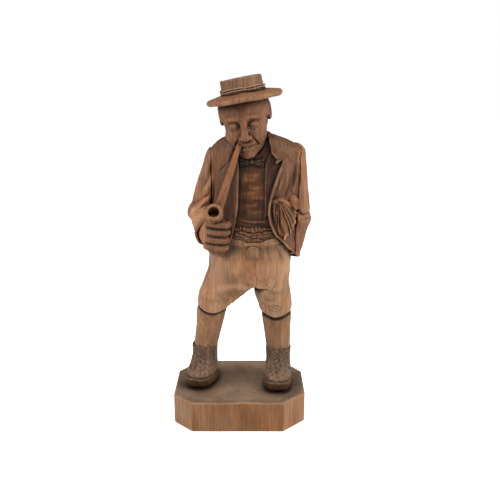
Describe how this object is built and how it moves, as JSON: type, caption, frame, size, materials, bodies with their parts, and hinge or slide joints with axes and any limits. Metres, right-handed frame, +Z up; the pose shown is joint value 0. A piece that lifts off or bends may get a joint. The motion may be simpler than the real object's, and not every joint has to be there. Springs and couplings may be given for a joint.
{
  "type": "incense smoker figure",
  "caption": "Carved wooden man with a pipe on an eight-sided plinth; the hollow upper half lifts off to take an incense cone, and smoke leaves through the pipe.",
  "frame": {"origin": "middle of the plinth's flat underside", "axes": "+Z up, the man faces -Y, +X towards his left hand"},
  "size_m": [0.0952, 0.0731, 0.2399],
  "materials": {
    "plinth_wood": "hand-carved, stained and waxed",
    "boot_wood": "hand-carved, stained and waxed",
    "breeches_wood": "hand-carved, stained and waxed",
    "coat_wood": "hand-carved, stained and waxed",
    "flesh_wood": "hand-carved, stained and waxed",
    "pipe_wood": "hand-carved, stained and waxed",
    "hat_wood": "hand-carved, stained and waxed",
    "dowel_wood": "plain beech",
    "plate_brass": "dull, smoke-stained",
    "pin_steel": "plain wire"
  },
  "bodies": {
    "lower_half": {"plinth": "plinth_wood", "leg_dowels": "dowel_wood", "right_boot": "boot_wood", "left_boot": "boot_wood", "right_stocking": "breeches_wood", "left_stocking": "breeches_wood", "knee_dowels": "dowel_wood", "breeches": "breeches_wood", "breeches_button": "breeches_wood", "incense_plate": "plate_brass", "plate_pins": "pin_steel"},
    "upper_half": {"torso": "coat_wood", "sash": "coat_wood", "bow_tie": "coat_wood", "shoulder_dowels": "dowel_wood", "right_arm": "coat_wood", "left_arm": "coat_wood", "wrist_dowel": "dowel_wood", "right_hand": "flesh_wood", "pipe_stem": "pipe_wood", "pipe_bowl": "pipe_wood", "head": "flesh_wood", "hat_brim": "hat_wood", "hat_crown": "hat_wood", "hat_band": "hat_wood", "pocket_cloth": "coat_wood"}
  },
  "joints": [
    {"name": "upper_half_lift", "type": "slide", "parent": "lower_half", "child": "upper_half", "axis": [0, 0, 1], "range_m": [0, 0.06]}
  ]
}
